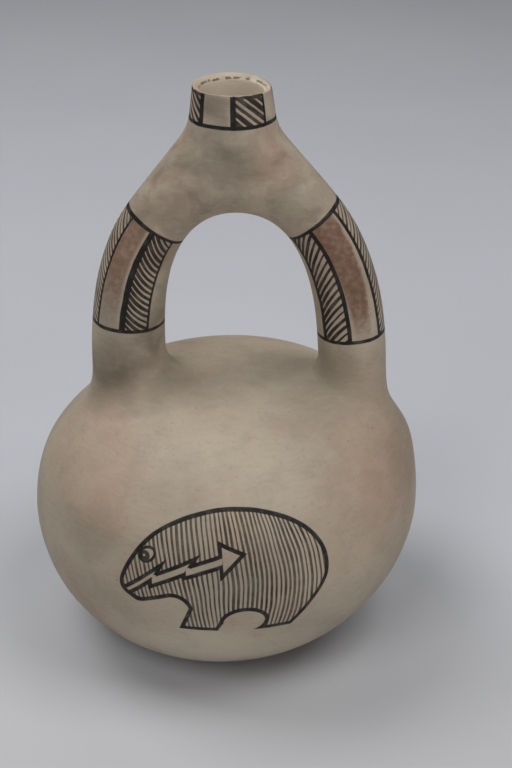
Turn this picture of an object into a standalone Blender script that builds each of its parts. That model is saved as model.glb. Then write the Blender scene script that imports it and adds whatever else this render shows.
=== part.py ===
"""Stirrup spout vessel: a hollow fired clay pot with an arched tube handle and one short spout.

The whole vessel is one piece of clay. Its skin is modelled as a coarse cage of four-sided faces:
a round body, a tube that grows out of each shoulder, and a crown where both tubes meet under the
spout. Subdivision rounds the cage, and Solidify gives the skin its wall, so the vessel is hollow
all the way from the mouth through both tubes into the body.

Metres, +Z up. The origin is the middle of the flat base. X runs along the stirrup, -Y is the front.
"""

import math

import bmesh
import bpy
from mathutils import Vector

# Body
BODY_RADIUS = 0.0610
WAIST_HEIGHT = 0.0470
SHOULDER_RISE = 0.0417
SHOULDER_FULLNESS = 2.24
BELLY_FULLNESS = 2.12
BASE_RADIUS = 0.0300
BASE_ROUNDING = 0.0060
BODY_LEAN = 0.044

# Stirrup, whose sizes are taken along the middle of its tube
FOOT_INSET = 0.0264
FOOT_TUBE_RADIUS = 0.0110
FOOT_FILLET = 0.0075
LEG_DIFFERENCE = 0.0004
LEG_RISE = 0.0120
ARCH_RISE = 0.0560
ARCH_FULLNESS = 2.25
CROWN_TUBE_RADIUS = 0.0093
STIRRUP_SHIFT = 0.0070
STIRRUP_LEAN = -0.024

# Spout, whose heights are taken from the middle of the tube at the crown
CROWN_SHOULDER_RISE = 0.0100
CROWN_SHOULDER_REACH = 0.0178
CROWN_SHOULDER_DEPTH = 0.0122
NECK_RISE = 0.0197
NECK_RADIUS = 0.0124
SPOUT_LENGTH = 0.0096
RIM_RADIUS = 0.0114

# Clay
BODY_WALL = 0.0040
TUBE_WALL = 0.0029
LIP_WALL = 0.0023
LIP_ROUNDING = 0.0007

# Cage
BODY_SIDES = 16
TUBE_SIDES = 8
BELLY_RINGS = 5
SHOULDER_RINGS = 3
FILLET_STEPS = 2
LEG_STATIONS = 5
LAST_LEG_ANGLE = 56.0
UNDER_CROWN_ANGLE = 74.0
NECK_STEPS = 2
SPOUT_STEPS = 2
CAGE_PASSES = 12

CLAY_COLOUR = (0.42, 0.36, 0.29, 1.0)
CLAY_ROUGHNESS = 0.75
FRONT_TO_BACK = Vector((0.0, 1.0, 0.0))


def clear_scene():
    """Start from an empty scene."""
    for thing in list(bpy.data.objects):
        bpy.data.objects.remove(thing)


def swell(sides):
    """How far outside its true circle a cage ring of so many sides stands before it is rounded."""
    return 6.0 / (4.0 + 2.0 * math.cos(math.tau / sides))


def full_curve(angle, width, rise, fullness):
    """Point on a quarter of a full oval: 0 degrees is its side and 90 degrees its top."""
    power = 2.0 / fullness
    return width * math.cos(angle) ** power, rise * math.sin(angle) ** power


def body_axis(height):
    """The hand-built body leans to the right as it rises."""
    return BODY_LEAN * height


def body_height():
    return WAIST_HEIGHT + SHOULDER_RISE


def shoulder_height(across, along):
    """Height of the body's upper skin at a place seen from above."""
    share = min(math.hypot(across - body_axis(body_height()), along) / BODY_RADIUS, 1.0)
    return WAIST_HEIGHT + SHOULDER_RISE * (1.0 - share**SHOULDER_FULLNESS) ** (
        1.0 / SHOULDER_FULLNESS
    )


def half_span():
    """Distance from the middle of the stirrup to the middle of a foot."""
    return BODY_RADIUS - FOOT_INSET


def foot_height():
    return shoulder_height(body_axis(body_height()) + half_span(), 0.0)


def spring_height():
    """Height where the legs begin to arch inwards."""
    return foot_height() + LEG_RISE


def crown_height():
    return spring_height() + ARCH_RISE


def stirrup_axis(height):
    """The stirrup stands right of the body's middle and leans back over it as it rises."""
    return STIRRUP_SHIFT + STIRRUP_LEAN * (height - foot_height())


def belly_drop():
    """Depth of the belly's whole curve, which the base cuts off at its own radius."""
    share = 1.0 - (BASE_RADIUS / BODY_RADIUS) ** BELLY_FULLNESS
    return WAIST_HEIGHT / share ** (1.0 / BELLY_FULLNESS)


def cage_through(curve):
    """A cage whose rounded curve runs through the given points. Its two ends stay in place."""
    cage = [Vector(point) for point in curve]
    for _ in range(CAGE_PASSES):
        for place in range(1, len(cage) - 1):
            rounded = (cage[place - 1] + 4.0 * cage[place] + cage[place + 1]) / 6.0
            cage[place] += Vector(curve[place]) - rounded
    return cage


def body_profile():
    """The body's outline from the edge of its base to the middle of its top, as (radius, height).

    The last five places are the three rings that the stirrup's feet take in, with their middles on
    the second one, then a ring inside them and the top.
    """
    drop = belly_drop()
    base_angle = math.asin((WAIST_HEIGHT / drop) ** (BELLY_FULLNESS / 2.0))
    curve = []
    for step in range(BELLY_RINGS + 1):
        angle = base_angle * (1.0 - step / BELLY_RINGS)
        radius, fall = full_curve(angle, BODY_RADIUS, drop, BELLY_FULLNESS)
        curve.append((radius, WAIST_HEIGHT - fall))
    foot_angle = math.acos((half_span() / BODY_RADIUS) ** (SHOULDER_FULLNESS / 2.0))
    top_angle = math.radians(90.0)
    angles = [foot_angle * step / SHOULDER_RINGS for step in range(1, SHOULDER_RINGS + 1)]
    angles += [(foot_angle + top_angle) / 2.0, (foot_angle + 3.0 * top_angle) / 4.0, top_angle]
    for angle in angles:
        radius, rise = full_curve(angle, BODY_RADIUS, SHOULDER_RISE, SHOULDER_FULLNESS)
        curve.append((radius, WAIST_HEIGHT + rise))
    return curve


def new_corner(skin, spot, wall):
    """A corner of the cage, which carries the thickness that the wall has there."""
    corner = skin.verts.new(spot)
    corner[skin.verts.layers.deform.active][0] = wall / max(BODY_WALL, TUBE_WALL, LIP_WALL)
    return corner


def level_ring(skin, sides, centre, reach, depth, height, wall):
    """Corners of a level ring, counted from +X towards +Y."""
    corners = []
    for side in range(sides):
        angle = math.tau * side / sides
        across = centre + reach * swell(sides) * math.cos(angle)
        along = depth * swell(sides) * math.sin(angle)
        corners.append(new_corner(skin, (across, along, height), wall))
    return corners


def join_rings(skin, lower, upper):
    """Faces between two rings of as many corners, pointing outwards."""
    count = len(lower)
    for side in range(count):
        after = (side + 1) % count
        skin.faces.new((lower[side], lower[after], upper[after], upper[side]))


def close_ring(skin, ring, middle):
    """Three-sided faces from a ring to a corner in its middle, pointing outwards."""
    for side, corner in enumerate(ring):
        skin.faces.new((corner, ring[(side + 1) % len(ring)], middle))


def add_body(skin):
    """The body, with an eight-cornered opening in each shoulder for the stirrup's feet.

    Returns the corners of the right and of the left opening, the outermost corner first.
    """
    flat = BASE_RADIUS - BASE_ROUNDING
    rings = [level_ring(skin, BODY_SIDES, 0.0, flat, flat, 0.0, BODY_WALL)]
    cage = cage_through(body_profile())
    for radius, height in cage[:-1]:
        centre = body_axis(height)
        rings.append(level_ring(skin, BODY_SIDES, centre, radius, radius, height, BODY_WALL))
    for lower, upper in zip(rings, rings[1:]):
        join_rings(skin, lower, upper)
    close_ring(skin, rings[0][::-1], new_corner(skin, (0.0, 0.0, 0.0), BODY_WALL))
    top = (body_axis(cage[-1].y), 0.0, cage[-1].y)
    close_ring(skin, rings[-1], new_corner(skin, top, BODY_WALL))
    outer, middle, inner = rings[-4:-1]
    openings = []
    for side, step in ((0, 1), (BODY_SIDES // 2, -1)):
        front = side - step
        back = side + step
        openings.append(
            [outer[side], outer[back], middle[back], inner[back],
             inner[side], inner[front], middle[front], outer[front]]
        )
        bmesh.ops.delete(skin, geom=[middle[side]], context="VERTS")
    return openings


def foot_ring(hand, turn):
    """Places around a foot: 0 degrees of turn lies on the shoulder, and 90 degrees on the tube."""
    places = []
    reach = leg_radius(0.0, hand) + FOOT_FILLET * (1.0 - math.sin(turn))
    spread = 1.0 + (swell(TUBE_SIDES) - 1.0) * math.sin(turn)
    body_middle = Vector((body_axis(WAIST_HEIGHT), 0.0, WAIST_HEIGHT))
    body_spread = 1.0 + (swell(BODY_SIDES) - 1.0) * math.cos(turn)
    for side in range(TUBE_SIDES):
        angle = math.tau * side / TUBE_SIDES
        across = hand * (half_span() + reach * spread * math.cos(angle)) + STIRRUP_SHIFT
        along = reach * spread * math.sin(angle)
        height = shoulder_height(across, along) + FOOT_FILLET * (1.0 - math.cos(turn))
        place = Vector((across, along, height))
        places.append(body_middle + (place - body_middle) * body_spread)
    return places


def leg_radius(angle, hand):
    """Radius of a tube at an angle up its arch. The left leg is a little thicker than the right."""
    foot = FOOT_TUBE_RADIUS - hand * LEG_DIFFERENCE
    return foot + (CROWN_TUBE_RADIUS - foot) * math.sin(angle)


def arch_ring(angle, hand):
    """Places around a tube at an angle up its arch: the first is outside, the third at the back."""
    across, up = full_curve(angle, half_span(), ARCH_RISE, ARCH_FULLNESS)
    slope = ARCH_FULLNESS - 1.0
    outward = Vector(
        (across**slope / half_span() ** ARCH_FULLNESS, 0.0, up**slope / ARCH_RISE**ARCH_FULLNESS)
    ).normalized()
    middle = Vector((across, 0.0, spring_height() + up))
    places = []
    for side in range(TUBE_SIDES):
        turn = math.tau * side / TUBE_SIDES
        direction = outward * math.cos(turn) + FRONT_TO_BACK * math.sin(turn)
        spot = middle + direction * leg_radius(angle, hand) * swell(TUBE_SIDES)
        spot.x = hand * spot.x + stirrup_axis(spot.z)
        places.append(spot)
    return places


def join_tube_rings(skin, lower, upper, hand):
    """The left tube is mirrored, so its faces are wound the other way round."""
    if hand > 0:
        join_rings(skin, lower, upper)
    else:
        join_rings(skin, lower[::-1], upper[::-1])


def add_leg(skin, opening, hand):
    """One leg of the stirrup, from its opening in the shoulder to its last ring."""
    for corner, place in zip(opening, foot_ring(hand, 0.0)):
        corner.co = place
    rings = [opening]
    for step in range(1, FILLET_STEPS + 1):
        places = foot_ring(hand, math.radians(90.0) * step / FILLET_STEPS)
        rings.append([new_corner(skin, place, TUBE_WALL) for place in places])
    for station in range(LEG_STATIONS):
        angle = math.radians(LAST_LEG_ANGLE) * station / (LEG_STATIONS - 1)
        places = arch_ring(angle, hand)
        rings.append([new_corner(skin, place, TUBE_WALL) for place in places])
    for lower, upper in zip(rings, rings[1:]):
        join_tube_rings(skin, lower, upper, hand)
    return rings[-1]


def under_crown(skin, angle, hand):
    """The part of an arch ring that isn't taken up by the spout: back, underside and front."""
    places = arch_ring(angle, hand)[2:7]
    return [new_corner(skin, place, TUBE_WALL) for place in places]


def join_strips(skin, left, right):
    """Faces between two rows of corners that run under the crown from back to front."""
    for row in range(len(left) - 1):
        skin.faces.new((left[row], right[row], right[row + 1], left[row + 1]))


def add_crown(skin, right_leg, left_leg):
    """The crown, where both legs run into one ring. Returns the ring that the spout grows from."""
    height = crown_height() + CROWN_SHOULDER_RISE
    ring = level_ring(
        skin, TUBE_SIDES, stirrup_axis(height), CROWN_SHOULDER_REACH, CROWN_SHOULDER_DEPTH,
        height, TUBE_WALL,
    )
    right, back_right, back, back_left, left, front_left, front, front_right = ring
    right_under = under_crown(skin, math.radians(UNDER_CROWN_ANGLE), 1)
    middle_under = under_crown(skin, math.radians(90.0), 1)
    left_under = under_crown(skin, math.radians(UNDER_CROWN_ANGLE), -1)
    join_tube_rings(skin, right_leg, [right, back_right] + right_under + [front_right], 1)
    join_tube_rings(skin, left_leg, [left, back_left] + left_under + [front_left], -1)
    middle_row = [back] + middle_under + [front]
    join_strips(skin, middle_row, [back_right] + right_under + [front_right])
    join_strips(skin, [back_left] + left_under + [front_left], middle_row)
    return ring


def add_spout(skin, ring):
    """The neck draws in from the crown, and the spout narrows a little towards its lip."""
    start = crown_height() + CROWN_SHOULDER_RISE
    neck = crown_height() + NECK_RISE
    for step in range(1, NECK_STEPS + 1):
        share = step / NECK_STEPS
        height = start + (neck - start) * share
        reach = NECK_RADIUS + (CROWN_SHOULDER_REACH - NECK_RADIUS) * (1.0 - share) ** 2
        depth = NECK_RADIUS + (CROWN_SHOULDER_DEPTH - NECK_RADIUS) * (1.0 - share) ** 2
        axis = stirrup_axis(height)
        upper = level_ring(skin, TUBE_SIDES, axis, reach, depth, height, TUBE_WALL)
        join_rings(skin, ring, upper)
        ring = upper
    for step in range(1, SPOUT_STEPS + 1):
        share = step / SPOUT_STEPS
        height = neck + SPOUT_LENGTH * share
        radius = NECK_RADIUS + (RIM_RADIUS - NECK_RADIUS) * share
        wall = TUBE_WALL + (LIP_WALL - TUBE_WALL) * share
        axis = stirrup_axis(height)
        upper = level_ring(skin, TUBE_SIDES, axis, radius, radius, height, wall)
        join_rings(skin, ring, upper)
        ring = upper


def clay():
    """Low-fired pale clay under a burnished slip."""
    material = bpy.data.materials.new("slipped_clay")
    material.use_nodes = True
    shader = material.node_tree.nodes["Principled BSDF"]
    shader.inputs["Base Color"].default_value = CLAY_COLOUR
    shader.inputs["Roughness"].default_value = CLAY_ROUGHNESS
    shader.inputs["Metallic"].default_value = 0.0
    return material


def finish_clay(vessel):
    """Subdivision rounds the cage, Solidify gives it a wall, and Bevel rounds the lip."""
    rounding = vessel.modifiers.new("rounding", "SUBSURF")
    rounding.levels = 1
    rounding.render_levels = 1
    rounding.use_limit_surface = False
    wall = vessel.modifiers.new("wall", "SOLIDIFY")
    wall.thickness = max(BODY_WALL, TUBE_WALL, LIP_WALL)
    wall.offset = -1.0
    wall.use_even_offset = True
    wall.vertex_group = vessel.vertex_groups.new(name="clay_thickness").name
    lip = vessel.modifiers.new("lip", "BEVEL")
    lip.width = LIP_ROUNDING
    lip.segments = 2
    lip.limit_method = "ANGLE"
    lip.angle_limit = math.radians(60.0)


def build_vessel():
    """The whole vessel as one object."""
    skin = bmesh.new()
    skin.verts.layers.deform.new("clay_thickness")
    right_opening, left_opening = add_body(skin)
    right_leg = add_leg(skin, right_opening, 1)
    left_leg = add_leg(skin, left_opening, -1)
    add_spout(skin, add_crown(skin, right_leg, left_leg))
    mesh = bpy.data.meshes.new("vessel")
    skin.to_mesh(mesh)
    skin.free()
    mesh.shade_smooth()
    mesh.materials.append(clay())
    vessel = bpy.data.objects.new("vessel", mesh)
    bpy.context.scene.collection.objects.link(vessel)
    finish_clay(vessel)


clear_scene()
build_vessel()
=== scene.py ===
# %% [markdown]
# # A painted stirrup vessel
#
# This lesson dresses one hollow clay pot: a round body, a tube that rises from each shoulder, and a
# crown where both tubes meet under a short spout. The pot is built by hand from coils of clay, coated
# with a thin pale clay called slip, rubbed smooth with a stone, painted with a brush, and fired.
#
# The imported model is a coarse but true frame. It is loaded first and never moved, so the finished
# surface is grown from it.

# %% Load the frame
import math

import bmesh
import bpy
import numpy as np
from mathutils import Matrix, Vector, noise


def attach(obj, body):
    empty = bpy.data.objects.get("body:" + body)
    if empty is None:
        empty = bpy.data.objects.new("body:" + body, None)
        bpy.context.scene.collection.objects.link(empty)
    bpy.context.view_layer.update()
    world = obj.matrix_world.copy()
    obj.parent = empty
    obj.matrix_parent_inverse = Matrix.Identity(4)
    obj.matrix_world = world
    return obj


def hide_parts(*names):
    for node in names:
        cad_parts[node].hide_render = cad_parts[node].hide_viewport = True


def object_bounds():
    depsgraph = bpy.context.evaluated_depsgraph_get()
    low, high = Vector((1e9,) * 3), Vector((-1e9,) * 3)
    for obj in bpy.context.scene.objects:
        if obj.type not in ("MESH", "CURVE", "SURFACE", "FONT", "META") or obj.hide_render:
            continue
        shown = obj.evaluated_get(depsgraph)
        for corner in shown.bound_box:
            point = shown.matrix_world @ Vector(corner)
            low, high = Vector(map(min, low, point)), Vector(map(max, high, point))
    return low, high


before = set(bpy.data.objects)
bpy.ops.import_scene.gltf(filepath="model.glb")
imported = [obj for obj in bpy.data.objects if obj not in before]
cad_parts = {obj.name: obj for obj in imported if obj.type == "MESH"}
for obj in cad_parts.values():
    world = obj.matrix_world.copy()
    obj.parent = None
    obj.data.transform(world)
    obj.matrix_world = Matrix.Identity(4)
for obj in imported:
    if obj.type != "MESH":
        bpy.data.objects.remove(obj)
cad_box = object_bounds()
cad_size = cad_box[1] - cad_box[0]
print("frame size in mm:", [round(side * 1000, 1) for side in cad_size])

# %% [markdown]
# ## The camera
#
# The vessel is seen from 28 degrees above level, through a lens half as long again as a normal one,
# which keeps the near belly from swelling. The camera is made first, because every later choice of
# detail is judged through it.

# %% Camera
CAMERA_PLACE = (0.01157, -0.4427, 0.3184)
CAMERA_TILT = 62.0
CAMERA_LENS = 75.0
CAMERA_SENSOR = 36.0


def add_camera():
    """A camera that looks down on the vessel from the front, made the scene's own."""
    eye = bpy.data.cameras.new("camera")
    eye.lens = CAMERA_LENS
    eye.sensor_width = CAMERA_SENSOR
    stand = bpy.data.objects.new("camera", eye)
    stand.location = CAMERA_PLACE
    stand.rotation_euler = (math.radians(CAMERA_TILT), 0.0, 0.0)
    bpy.context.scene.collection.objects.link(stand)
    bpy.context.scene.camera = stand


add_camera()
print("camera place in mm:", [round(measure * 1000) for measure in CAMERA_PLACE])

# %% [markdown]
# ## Colour and nodes
#
# Colours are chosen as sRGB hex values, as a painter's chart gives them, and one function turns them
# to the linear values that light needs. A second function adds a shader node, sets its properties and
# links its inputs. Every pattern below is a chain of such calls. A third lays one colour over another,
# as each coat of the painting does.

# %% Colour and node helpers
CHANNEL_TOP = 255.0
SRGB_KNEE, SRGB_SLOPE = 0.04045, 12.92
SRGB_LIFT, SRGB_POWER = 0.055, 2.4


def linear(chart_colour):
    """The linear RGBA of an sRGB hex value."""
    channels = []
    for place in (0, 2, 4):
        share = int(chart_colour[place:place + 2], 16) / CHANNEL_TOP
        if share <= SRGB_KNEE:
            channels.append(share / SRGB_SLOPE)
        else:
            channels.append(((share + SRGB_LIFT) / (1.0 + SRGB_LIFT)) ** SRGB_POWER)
    return (*channels, 1.0)


def add(tree, kind, inputs, output=0, **settings):
    """One more node. inputs maps a socket's name or number to a value or to another node's output."""
    new = tree.nodes.new("ShaderNode" + kind)
    for setting, value in settings.items():
        setattr(new, setting, value)
    for socket, value in inputs.items():
        if isinstance(value, bpy.types.NodeSocket):
            tree.links.new(value, new.inputs[socket])
        else:
            new.inputs[socket].default_value = value
    return new.outputs[output]


def tint(tree, amount, under, chart_colour):
    """Lays a chart colour over another colour by an amount."""
    return add(tree, "Mix", {0: amount, 6: under, 7: linear(chart_colour)}, 2, data_type="RGBA")


def new_material(name):
    """An empty node material: returns it with its tree and its Principled shader."""
    material = bpy.data.materials.new(name)
    material.use_nodes = True
    tree = material.node_tree
    return material, tree, tree.nodes["Principled BSDF"]


print("the chart's middle grey in linear light:", round(linear("808080")[0], 3))

# %% [markdown]
# ## The ground and the light
#
# The vessel stands on a pale cloth. A plain floor with a faint unevenness of tone is enough: the eye
# reads the pot's weight from the shadow under its belly. The cloth is painted a touch warmer and
# darker in front. This is a painted shade where the light falls off in front. The light is a ring of
# five large soft lamps: two high on the left, one high on the right, a weak one behind and a low one in
# front. Together they make the upper belly brightest and leave the upright spout duller.

# %% Floor
FLOOR_HALF = 3.0
CLOTH_LIGHT = "CBCDD2"
CLOTH_DARK = "C3C5CB"
# painted shade: the cloth is made darker and warmer towards the front
CLOTH_FRONT_SHADE = "BDBAB8"
CLOTH_PATCH = 0.12
FRONT_SHADE_START, FRONT_SHADE_END = 0.05, -0.3
CLOTH_ROUGHNESS = 0.9
CLOTH_GLOSS = 0.2


def add_floor():
    """A wide level floor."""
    ground = bmesh.new()
    bmesh.ops.create_grid(ground, x_segments=1, y_segments=1, size=FLOOR_HALF)
    mesh = bpy.data.meshes.new("floor")
    ground.to_mesh(mesh)
    ground.free()
    floor = bpy.data.objects.new("floor", mesh)
    bpy.context.scene.collection.objects.link(floor)
    material, tree, shader = new_material("pale_cotton_cloth")
    place = add(tree, "TexCoord", {}, "Object")
    patch = add(tree, "TexNoise", {"Vector": place, "Scale": 1.0 / CLOTH_PATCH, "Detail": 2.0})
    tone = tint(tree, patch, linear(CLOTH_DARK), CLOTH_LIGHT)
    back = add(tree, "SeparateXYZ", {0: place}).node.outputs[1]
    # painted shade, growing towards the front of the floor
    near = add(tree, "MapRange", {"Value": back, "From Min": FRONT_SHADE_START, "From Max": FRONT_SHADE_END})
    tone = tint(tree, near, tone, CLOTH_FRONT_SHADE)
    tree.links.new(tone, shader.inputs["Base Color"])
    shader.inputs["Roughness"].default_value = CLOTH_ROUGHNESS
    shader.inputs["Specular IOR Level"].default_value = CLOTH_GLOSS
    mesh.materials.append(material)


add_floor()
print("floor width in m:", 2.0 * FLOOR_HALF)

# %% Lights
LAMP_SIZE = 0.6
LAMPS = {
    "left_front": ((-0.5, -0.8, 1.0), 4.4),
    "left": ((-0.5, 0.2, 1.0), 4.9),
    "right": ((0.5, -0.2, 1.0), 4.4),
    "back": ((0.0, 0.7, 1.0), 1.3),
    "low_front": ((0.7, -1.1, 0.35), 3.15),
}
SKY_COLOUR = "DCE2EA"
SKY_STRENGTH = 0.02


def add_lights():
    """Soft lamps round the vessel that all face it, and a faint even sky."""
    for name, (place, power) in LAMPS.items():
        lamp = bpy.data.lights.new(name, "AREA")
        lamp.shape = "SQUARE"
        lamp.size = LAMP_SIZE
        lamp.energy = power
        stand = bpy.data.objects.new(name, lamp)
        stand.location = place
        stand.rotation_mode = "QUATERNION"
        stand.rotation_quaternion = Vector(place).to_track_quat("Z", "Y")
        bpy.context.scene.collection.objects.link(stand)
    sky = bpy.data.worlds.new("even_sky")
    sky.use_nodes = True
    background = sky.node_tree.nodes["Background"]
    background.inputs["Color"].default_value = linear(SKY_COLOUR)
    background.inputs["Strength"].default_value = SKY_STRENGTH
    bpy.context.scene.world = sky
    bpy.context.scene.view_settings.view_transform = "Standard"


add_lights()
print("lamps in watts:", {name: power for name, (place, power) in LAMPS.items()})

# %% [markdown]
# ## The clay skin
#
# The frame's mesh is triangles that share no corners. A copy of it is welded, its triangles are
# paired back into four-sided faces, and two steps of subdivision round it. Catmull-Clark subdivision
# of a four-sided cage settles on one smooth surface, so the finer skin keeps the frame's form.
#
# A hand-built wall is never a perfect round. The skin is moved by a slow noise of a fifth of a
# millimetre, inside and out together, so the wall keeps its thickness. The noise has a seed, so each
# run makes the same pot. The foot stays flat. The lip was wiped with a wet thumb, so it slopes down
# into the mouth, and it sags a little on the right.

# %% Grow the skin
MM = 0.001
WELD = 0.01 * MM
PAIR_ANGLE = math.radians(60.0)
ROUNDING_STEPS = 2
UNEVEN_SIZE = 28.0 * MM
UNEVEN_DEPTH = 0.22 * MM
UNEVEN_SEED = 4
EDGE_FADE = 6.0 * MM
LIP_SLOPE = 0.6
LIP_DEPTH = 5.0 * MM
LIP_DROP = 0.9 * MM
RIM_RADIUS = 11.4 * MM
STIRRUP_SHIFT = 7.0 * MM
STIRRUP_LEAN = -0.024
FOOT_HEIGHT = 83.0 * MM


def stirrup_axis(height):
    """Where the stirrup's own middle stands at a height."""
    return STIRRUP_SHIFT + STIRRUP_LEAN * (height - FOOT_HEIGHT)


def cage_from(node_name):
    """The frame's node as welded four-sided faces in a new object."""
    cage = bmesh.new()
    cage.from_mesh(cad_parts[node_name].data)
    bmesh.ops.remove_doubles(cage, verts=cage.verts, dist=WELD)
    bmesh.ops.join_triangles(
        cage, faces=cage.faces, angle_face_threshold=PAIR_ANGLE, angle_shape_threshold=PAIR_ANGLE
    )
    left = sum(len(face.verts) == 3 for face in cage.faces)
    print("cage faces:", len(cage.faces), "of which three-sided:", left)
    mesh = bpy.data.meshes.new("painted_vessel")
    cage.to_mesh(mesh)
    cage.free()
    piece = bpy.data.objects.new("painted_vessel", mesh)
    bpy.context.scene.collection.objects.link(piece)
    return piece


def apply_rounding(piece):
    """Subdivides the piece and keeps the result as its own mesh."""
    rounding = piece.modifiers.new("rounding", "SUBSURF")
    rounding.levels = ROUNDING_STEPS
    rounding.render_levels = ROUNDING_STEPS
    smooth = piece.evaluated_get(bpy.context.evaluated_depsgraph_get())
    rounded = bpy.data.meshes.new_from_object(smooth)
    piece.modifiers.clear()
    piece.data = rounded
    rounded.shade_smooth()


def shape_by_hand(mesh):
    """Moves the skin by a slow noise that fades at foot and lip, slopes the lip and lowers its right."""
    skin = bmesh.new()
    skin.from_mesh(mesh)
    noise.seed_set(UNEVEN_SEED)
    top = max(corner.co.z for corner in skin.verts)
    for corner in skin.verts:
        height = corner.co.z
        across = corner.co.x - stirrup_axis(height)
        inwards = max(RIM_RADIUS - math.hypot(across, corner.co.y), 0.0)
        rightwards = max(across / RIM_RADIUS, 0.0)
        drift = noise.noise_vector(corner.co / UNEVEN_SIZE) * UNEVEN_DEPTH
        corner.co += drift * min(height, top - height, EDGE_FADE) / EDGE_FADE
        near_lip = max(1.0 - (top - height) / LIP_DEPTH, 0.0)
        corner.co.z -= (LIP_SLOPE * inwards + LIP_DROP * rightwards**2) * near_lip
    skin.to_mesh(mesh)
    skin.free()


vessel = cage_from("vessel")
apply_rounding(vessel)
shape_by_hand(vessel.data)
print("skin faces:", len(vessel.data.polygons))

# %% [markdown]
# ## Where a point lies on the stirrup
#
# The painter's bands run round and along a bent tube, and no plain X, Y, Z follows that. So each
# corner of the skin gets three measures from the tube's middle line: how far outwards it stands, how
# far to the back, and how far along the tube from the lower ring line. The shader turns the first two
# into a compass angle. Storing the pair and not the angle leaves no seam where the angle jumps.
#
# Paint lies on the outside of the wall alone. A corner is on the outside where its normal points away
# from the middle of the hollow: the body's centre, a tube's middle line or the spout's upright.
#
# The middle line repeats the frame's own rule: a straight rise from the shoulder, then a quarter of a
# full oval.

# %% Middle line of a tube
HALF_SPAN = 34.6 * MM
SPRING_HEIGHT = 95.0 * MM
ARCH_RISE = 56.0 * MM
ARCH_FULLNESS = 2.25
STRAIGHT_STEPS = 60
ARCH_STEPS = 180
QUARTER = math.radians(90.0)
LOWER_RING = {-1: 106.5 * MM, 1: 102.5 * MM}
UPPER_RING = {-1: 138.1 * MM, 1: 139.7 * MM}


def middle_line(hand):
    """Points along one tube's middle, from its foot to the crown, and the distance to each."""
    spots = []
    for step in range(STRAIGHT_STEPS):
        height = FOOT_HEIGHT + (SPRING_HEIGHT - FOOT_HEIGHT) * step / STRAIGHT_STEPS
        spots.append((hand * HALF_SPAN + stirrup_axis(height), 0.0, height))
    for step in range(ARCH_STEPS + 1):
        turn = QUARTER * step / ARCH_STEPS
        across = HALF_SPAN * math.cos(turn) ** (2.0 / ARCH_FULLNESS)
        height = SPRING_HEIGHT + ARCH_RISE * math.sin(turn) ** (2.0 / ARCH_FULLNESS)
        spots.append((hand * across + stirrup_axis(height), 0.0, height))
    spots = np.array(spots)
    lengths = np.concatenate([[0.0], np.cumsum(np.linalg.norm(np.diff(spots, axis=0), axis=1))])
    return spots, lengths


def band_ends(hand):
    """Distances along the tube of its lower and upper ring lines."""
    spots, lengths = middle_line(hand)
    return [float(np.interp(ring[hand], spots[:, 2], lengths)) for ring in (LOWER_RING, UPPER_RING)]


BAND_LENGTH = {hand: (band_ends(hand)[1] - band_ends(hand)[0]) / MM for hand in (-1, 1)}
print("painted bands in mm:", {hand: round(size, 1) for hand, size in BAND_LENGTH.items()})

# %% Measure the skin
FAR = 100.0
WAIST_HEIGHT = 47.0 * MM
BODY_LEAN = 0.044
BODY_TOP = 92.0 * MM
TUBE_REACH = 15.5 * MM


def nearest_steps(corners, spots):
    """For each corner, the number of the nearest point of a middle line."""
    return np.array([np.argmin(((spots - corner) ** 2).sum(axis=1)) for corner in corners])


def places_on_tube(corners, hand):
    """Outwards, backwards and along, in millimetres, of corners that belong to one tube."""
    spots, lengths = middle_line(hand)
    nearest = nearest_steps(corners, spots)
    inner = np.clip(nearest, 1, len(spots) - 2)
    heading = spots[inner + 1] - spots[inner - 1]
    heading /= np.linalg.norm(heading, axis=1)[:, None]
    offset = corners - spots[nearest]
    rise = (offset * heading).sum(axis=1)
    outwards = np.stack([hand * heading[:, 2], np.zeros(len(corners)), -hand * heading[:, 0]], axis=1)
    along = lengths[nearest] + rise - band_ends(hand)[0]
    return np.stack([(offset * outwards).sum(axis=1), offset[:, 1], along], axis=1) / MM


def places_and_middles(corners):
    """Each corner's place on its tube, and the middle of the hollow behind it."""
    places = np.full(corners.shape, -FAR)
    middles = np.zeros(corners.shape)
    across = corners[:, 0] - stirrup_axis(corners[:, 2])
    from_tube = np.hypot(np.abs(across) - HALF_SPAN, corners[:, 1])
    on_body = (corners[:, 2] < FOOT_HEIGHT) | ((corners[:, 2] < BODY_TOP) & (from_tube > TUBE_REACH))
    middles[on_body] = (BODY_LEAN * WAIST_HEIGHT, 0.0, WAIST_HEIGHT)
    crown = SPRING_HEIGHT + ARCH_RISE
    for hand in (-1, 1):
        mine = (across * hand > 0.0) & ~on_body & (corners[:, 2] < crown)
        spots = middle_line(hand)[0]
        places[mine] = places_on_tube(corners[mine], hand)
        middles[mine] = spots[nearest_steps(corners[mine], spots)]
    on_spout = corners[:, 2] >= crown
    heights = corners[on_spout, 2]
    places[on_spout] = FAR
    middles[on_spout] = np.stack([stirrup_axis(heights), np.zeros(len(heights)), heights], axis=1)
    return places, middles


def measure_skin(mesh):
    """Stores each corner's place on the tube, and whether it lies on the outside of the wall."""
    count = len(mesh.vertices)
    corners = np.empty(count * 3)
    normals = np.empty(count * 3)
    mesh.vertices.foreach_get("co", corners)
    mesh.vertices.foreach_get("normal", normals)
    corners = corners.reshape(-1, 3)
    places, middles = places_and_middles(corners)
    outside = ((normals.reshape(-1, 3) * (corners - middles)).sum(axis=1) > 0.0).astype(float)
    tube = mesh.attributes.new("place_on_tube", "FLOAT_VECTOR", "POINT")
    tube.data.foreach_set("vector", places.ravel())
    skin = mesh.attributes.new("outside", "FLOAT", "POINT")
    skin.data.foreach_set("value", outside)
    print("corners on the outside:", int(outside.sum()), "of", count)


measure_skin(vessel.data)
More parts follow.
